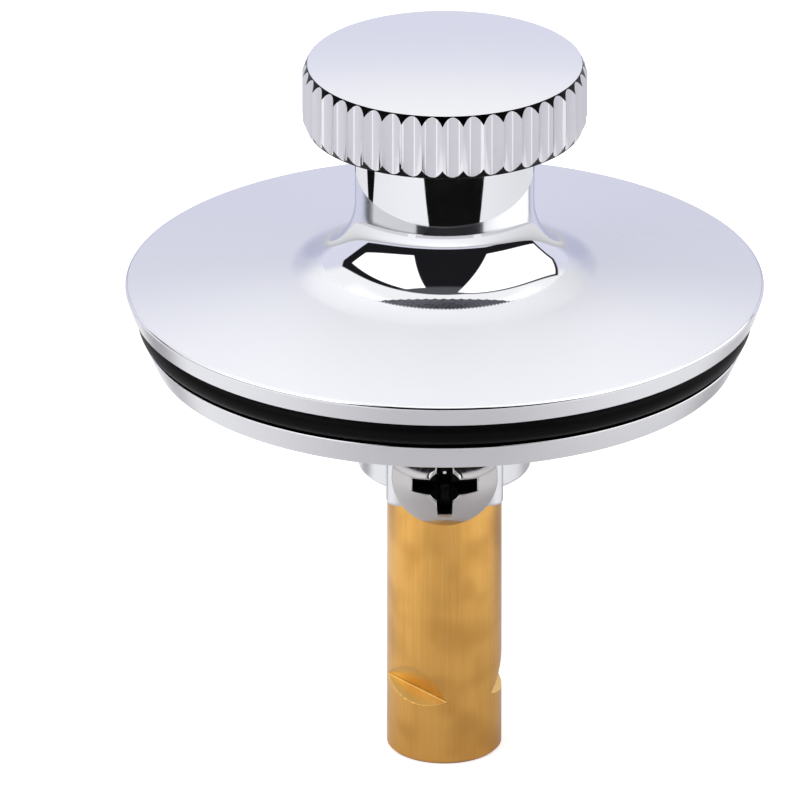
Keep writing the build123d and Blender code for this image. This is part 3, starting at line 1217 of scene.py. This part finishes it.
    def build_insert(self) -> bpy.types.Object:
        """Makes the tapped insert. Its bore is a triangle wave that climbs one pitch a turn.

        Returns:
            The piece.
        """
        azimuth = round_trip(self.insert_columns)
        height = np.linspace(0.0, self.insert_length, self.insert_rows)[:, None]
        phase = np.mod(height / self.thread_pitch - azimuth / (2 * math.pi), 1.0)
        wave = np.clip(self.thread_steepness * (1 - np.abs(2 * phase - 1)) - self.thread_crest, 0.0, 1.0)
        fade = np.clip(np.minimum(height, self.insert_length - height) / self.thread_fade, 0.0, 1.0)
        depth = np.clip(wave * fade + (1 - fade), 0.0, 1.0)
        radius = self.insert_bore + (self.thread_root - self.insert_bore) * depth
        bore = np.stack([radius, height + 0 * azimuth], axis=-1)
        outside = self.bore_radius - self.insert_gap
        waist = self.waist_radius - self.waist_gap
        shell = rounded(
            [
                (self.thread_root, self.insert_length, 0.0, 0),
                (outside, self.insert_length, 0.0, 1),
                (waist, self.waist_top, 0.0, 1),
                (waist, self.waist_foot, 0.0, 1),
                (outside, self.waist_foot - self.waist_step, 0.0, 1),
                (outside, 0.0, 0.1, 3),
                (self.thread_root, 0.0, 0.0, 0),
            ],
            self.insert_columns,
        )
        grids = [Grid(about_axis(part, azimuth)) for part in (bore, shell)]
        finish = DrawnBrass(name="turned_brass_bar", roughness=0.22, line_length_mm=0.35, stain_mm=9.0)
        piece = make_piece("tapped_insert", grids, finish.build())
        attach(piece, "post")
        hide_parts("threaded_insert")
        return piece


@dataclass(frozen=True)
class InnerParts:
    """The pieces inside the head, which keep their CAD shapes and get their finishes."""

    rubber_nodes: tuple[str, ...] = ("grip_ring", "sealing_washer")
    nylon_nodes: tuple[str, ...] = ("upper_bushing", "lower_bushing")
    steel_nodes: tuple[str, ...] = ("knob_screw", "retaining_ring")

    def dress(self, nodes: dict[str, bpy.types.Object]) -> None:
        """Gives each inner piece its finish.

        Args:
            nodes: The CAD nodes by name.
        """
        finishes = (
            (self.rubber_nodes, MouldedRubber(name="moulded_inner_rubber").build()),
            (self.nylon_nodes, MouldedNylon().build()),
            (self.steel_nodes, TurnedSteel().build()),
        )
        for names, material in finishes:
            for name in names:
                for slot in nodes[name].material_slots:
                    slot.material = material


# Studio


@dataclass(frozen=True)
class Studio:
    """Pale floor, soft light, and the room that the chrome shows.

    Flags and cards are given by azimuths in degrees and distances in millimetres, with the nearer distance first. A
    lamp has its place and its size in metres, and its power in watts.
    """

    floor_rings: tuple[float, ...] = (0.0, 0.1, 0.4, 1.2, 3.0)
    floor_drop_mm: float = 0.02
    card_height_mm: float = 0.4
    ambient: float = 0.62
    room: str = "1C1C1F"
    room_top: str = "55565A"
    back_low: str = "E2E3F2"
    back_mid: str = "F1F1FA"
    back_side: str = "C0C2D8"
    window_light: float = 1.5
    glow_light: float = 1.3
    front_flag: tuple[float, float] = (-28.0, 56.0)
    front_flag_edge: float = -107.2
    front_flag_slant: float = 0.22
    left_flag: tuple[tuple[float, float], ...] = ((-108.0, 115.5), (-95.0, 141.0), (-122.0, 141.0))
    flag_reach: float = 139.0
    cards: tuple[tuple[str, float, float, float, float, str], ...] = (
        ("back_flag", 158.0, 202.0, 111.5, 139.0, "6E7A99"),
        ("front_knob_card", -36.0, 36.0, 140.0, 181.0, "C8C5CB"),
        ("right_knob_card", 46.0, 136.0, 140.0, 181.0, "D0CDD4"),
        ("left_knob_card", -136.0, -46.0, 140.0, 181.0, "D0CDD4"),
    )
    wall_lean: float = math.radians(32.5)
    lamps: tuple[tuple[str, tuple[float, float, float], float, float], ...] = (
        ("overhead_softbox", (-0.42, -0.33, 0.78), 0.6, 3.6),
        ("fill_softbox", (0.15, -0.8, 0.5), 0.5, 3.1),
    )
    lamp_aim: tuple[float, float, float] = (0.0, 0.0, 0.03)

    def build_floor(self) -> None:
        """Makes the floor: a round sheet of paper just under the part."""
        azimuth = round_trip(96)
        rings = np.array(self.floor_rings)[:, None] / MM + 0 * azimuth
        profile = np.stack([rings, 0 * rings - self.floor_drop_mm], axis=-1)
        floor = make_piece("floor", [Grid(about_axis(profile, azimuth))], PaperSweep().build())

    def build_card(self, name: str, corners: np.ndarray, colour: str = Velvet.colour) -> None:
        """Makes a card that lies on the table out of view. Only the metal shows it.

        Args:
            name: The card's name.
            corners: Its corners on the floor, in millimetres.
            colour: The card's colour.
        """
        mesh = bpy.data.meshes.new(name)
        points = np.concatenate([corners, np.full((len(corners), 1), self.card_height_mm)], axis=1) * MM
        mesh.from_pydata(points.tolist(), [], [list(range(len(corners)))])
        card = bpy.data.objects.new(name, mesh)
        bpy.context.scene.collection.objects.link(card)
        mesh.materials.append(Velvet(name=name + "_velvet", colour=colour).build())
        for ray in ("camera", "diffuse", "shadow", "transmission"):
            setattr(card, "visible_" + ray, False)

    def build_cards(self) -> None:
        """Lays black flags in front and to the left, a blue grey one behind, and pale cards for the knob."""

        def ring(degrees: object) -> np.ndarray:
            """Directions on the floor at some azimuths."""
            turn = np.radians(degrees)
            return np.stack([np.sin(turn), -np.cos(turn)], axis=-1)

        outer = self.flag_reach * ring(np.linspace(*self.front_flag, 25))
        ends = outer[[-1, 0], 0]
        inner = np.stack([ends, self.front_flag_edge + self.front_flag_slant * ends], axis=-1)
        self.build_card("front_flag", np.concatenate([outer, inner]))
        turns, reaches = np.array(self.left_flag).T
        self.build_card("left_flag", reaches[:, None] * ring(turns))
        for name, start, end, near, far, colour in self.cards:
            arc = ring(np.linspace(start, end, 19))
            self.build_card(name, np.concatenate([near * arc, far * arc[::-1]]), colour)

    def build_world(self) -> None:
        """Makes the room: white overhead, pale behind, and in front a dark wall with two tall windows.

        Azimuth and elevation come from the direction of a ray, and every edge is a smooth step over a sum of the
        two, in degrees. The dark wall ends at a plane that leans forward over the object, so it is highest straight
        ahead; its steps are distances from that plane on a room of radius 1. Only metal and glass see the room;
        everything else is lit by an even sky.
        """
        world = bpy.data.worlds.new("studio_room")
        bpy.context.scene.world = world
        world.use_nodes = True
        world.node_tree.nodes.clear()
        nodes = Nodes(world.node_tree)
        calc, step, product, blend = nodes.calc, nodes.step, nodes.product, nodes.mix
        x, y, z = nodes.add("SeparateXYZ", inputs={0: nodes.add("TexCoord").outputs["Generated"]}).outputs
        forward = calc("MULTIPLY", y, -1.0)
        degrees = math.degrees(1.0)
        elevation = calc("MULTIPLY", calc("ARCSINE", z), degrees)
        azimuth = calc("MULTIPLY", calc("ARCTAN2", x, forward), degrees)

        def along(start: float, sideways: float, upward: float) -> Socket:
            """start + sideways * azimuth + upward * elevation."""
            both = calc("ADD", calc("MULTIPLY", azimuth, sideways), calc("MULTIPLY", elevation, upward))
            return calc("ADD", both, start)

        def beyond(value: object, start: float, rate: float) -> Socket:
            """rate * (value - start), and nothing where the value is less than the start."""
            return calc("MULTIPLY", calc("MAXIMUM", calc("SUBTRACT", value, start), 0.0), rate)

        def fall(value: object, start: float, end: float) -> Socket:
            """A smooth fall from 1 to 0 between two values."""
            return calc("SUBTRACT", 1.0, step(value, start, end))

        height = calc(
            "SUBTRACT",
            calc("MULTIPLY", forward, math.sin(self.wall_lean)),
            calc("MULTIPLY", z, math.cos(self.wall_lean)),
        )
        wall = calc("ADD", height, beyond(azimuth, 40.0, 0.0012))
        sinking = calc("ADD", elevation, beyond(azimuth, 50.0, 0.12))
        left_side = along(102.0, 1.0, 1.75)
        right_side = along(126.0, -1.0, 1.28)
        turned = calc("ABSOLUTE", azimuth)

        back = blend(step(elevation, 19.5, 25.5), linear(self.back_low), linear(self.back_mid))
        back = blend(step(elevation, 22.5, 27.5), back, grey(1.0))
        aside = product(fall(turned, 171.0, 177.5), fall(elevation, 34.0, 48.0), step(turned, 155.0, 164.0))
        back = blend(aside, back, linear(self.back_side))
        glow = product(step(turned, 105.0, 135.0), step(elevation, 38.0, 55.0))
        back = blend(glow, back, grey(self.glow_light))
        room = product(
            step(wall, -0.672, -0.655),
            step(sinking, 0.3, 1.3),
            step(left_side, -1.0, 1.0),
            step(right_side, -1.0, 1.0),
            step(along(143.0, -1.0, 0.0), -1.0, 1.0),
            step(along(132.0, 1.0, 0.0), -1.0, 1.0),
        )
        inside = blend(step(elevation, 58.0, 63.0), linear(self.room), linear(self.room_top))
        shade = blend(room, back, inside)
        pinch = beyond(along(0.0, -1.0, 0.0), 60.0, 0.0009)
        left_window = product(
            step(along(-38.9, -1.0, 0.156), -0.8, 0.8),
            step(left_side, 19.0, 21.0),
            step(elevation, 11.3, 12.6),
            step(along(62.0, 0.0, -1.0), 0.0, 1.5),
            step(calc("SUBTRACT", wall, pinch), -0.625, -0.605),
        )
        right_window = product(
            step(along(-56.6, 1.0, 0.469), -0.8, 0.8),
            step(right_side, 4.0, 5.5),
            step(sinking, 10.3, 11.6),
            step(along(70.0, 0.0, -1.0), 0.0, 2.0),
            step(along(140.0, -1.0, 0.0), -1.0, 1.0),
            step(wall, -0.652, -0.637),
        )
        shade = blend(calc("ADD", left_window, right_window), shade, grey(self.window_light))

        rays = nodes.add("LightPath").outputs
        metal = calc("MAXIMUM", rays["Is Glossy Ray"], rays["Is Transmission Ray"])
        even = blend(rays["Is Camera Ray"], grey(self.ambient), grey(1.0))
        ground = nodes.add("Background", inputs={"Color": blend(metal, even, shade), "Strength": 1.0})
        nodes.add("OutputWorld", inputs={"Surface": ground.outputs[0]})

    def build_lamps(self) -> None:
        """Makes a broad overhead softbox and a weaker fill. The metal shows the room, and not the lamps."""
        for name, place, size, power in self.lamps:
            data = bpy.data.lights.new(name, "AREA")
            data.shape = "SQUARE"
            data.size = size
            data.energy = power
            lamp = bpy.data.objects.new(name, data)
            bpy.context.scene.collection.objects.link(lamp)
            lamp.location = place
            lamp.rotation_euler = aim_angles(np.array(self.lamp_aim) - np.array(place))
            lamp.visible_glossy = False

    def build(self) -> None:
        """Makes the whole studio."""
        self.build_floor()
        self.build_cards()
        self.build_world()
        self.build_lamps()
        bpy.context.scene.view_settings.view_transform = "Standard"


def aim_angles(direction: np.ndarray) -> tuple[float, float, float]:
    """Turns that point an object's -Z axis along a direction, with its Y axis as near up as it goes.

    Args:
        direction: Any vector but a zero one.

    Returns:
        Euler angles in radians.
    """
    x, y, z = direction / np.linalg.norm(direction)
    return (math.acos(-z), 0.0, math.atan2(-x, y))


@dataclass(frozen=True)
class ProductCamera:
    """A long lens, a little above the disc, as the photograph was taken."""

    elevation: float = math.radians(23.4)
    distance: float = 2000.0
    aim: tuple[float, float, float] = (-3.685, 0.0, 30.98)
    width_at_aim: float = 66.25
    sensor: float = 36.0

    def build(self) -> None:
        """Makes the camera and gives it to the scene."""
        data = bpy.data.cameras.new("product_camera")
        data.sensor_width = self.sensor
        data.lens = self.sensor * self.distance / self.width_at_aim
        camera = bpy.data.objects.new("product_camera", data)
        bpy.context.scene.collection.objects.link(camera)
        direction = np.array([0.0, math.cos(self.elevation), -math.sin(self.elevation)])
        camera.location = (np.array(self.aim) - direction * self.distance) * MM
        camera.rotation_euler = aim_angles(direction)
        bpy.context.scene.camera = camera


def main() -> None:
    """Builds the pieces in order, then the studio and the camera."""
    logging.basicConfig(level=logging.INFO, format="%(name)s: %(message)s")
    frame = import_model()
    makers = (
        StopperBody().build,
        FlutedKnob().build,
        RimSeal().build,
        CamScrew().build,
        Post().build_tube,
        Post().build_insert,
    )
    for make in makers:
        piece = make()
        log.info("%s: %d faces", piece.name, len(piece.data.polygons))
    InnerParts().dress(frame["nodes"])
    log.info("inner parts dressed")
    Studio().build()
    ProductCamera().build()


if __name__ == "__main__":
    main()
